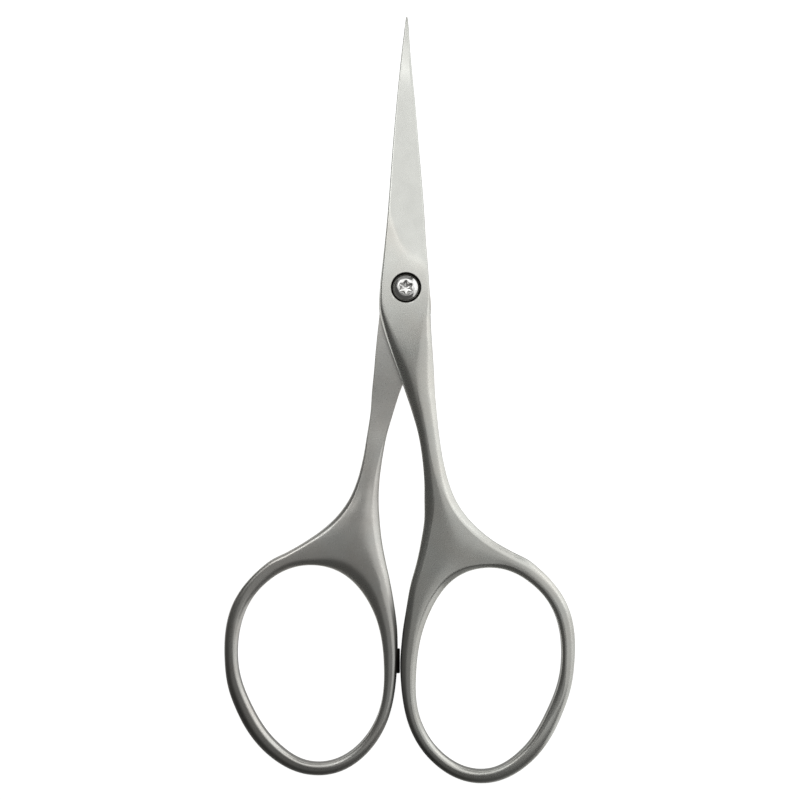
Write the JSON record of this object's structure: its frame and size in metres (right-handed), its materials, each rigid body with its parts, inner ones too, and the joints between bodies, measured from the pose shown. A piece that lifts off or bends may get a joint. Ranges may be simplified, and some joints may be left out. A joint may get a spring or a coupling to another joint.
{
  "type": "eyebrow scissors",
  "caption": "Small forged steel scissors with fine pointed blades, slim shanks and egg-shaped finger bows, turning on a flush screw.",
  "frame": {"origin": "on the pivot's axis, in the plane of the lower half's flat underside, where the screw's end is flush", "axes": "+Y to the blades' tips, +Z along the pivot to the screw's head, +X to the upper half's finger bow; the scissors lie closed"},
  "size_m": [0.0411, 0.0901, 0.0035],
  "materials": {
    "lower_steel": "satin",
    "upper_steel": "satin",
    "screw_steel": "polished"
  },
  "bodies": {
    "lower": {"lower_half": "lower_steel", "pivot_screw": "screw_steel"},
    "upper": {"upper_half": "upper_steel"}
  },
  "joints": [
    {"name": "pivot", "type": "hinge", "parent": "lower", "child": "upper", "pos_m": [0, 0, 0], "axis": [0, 0, 1], "range_deg": [0, 150]}
  ]
}
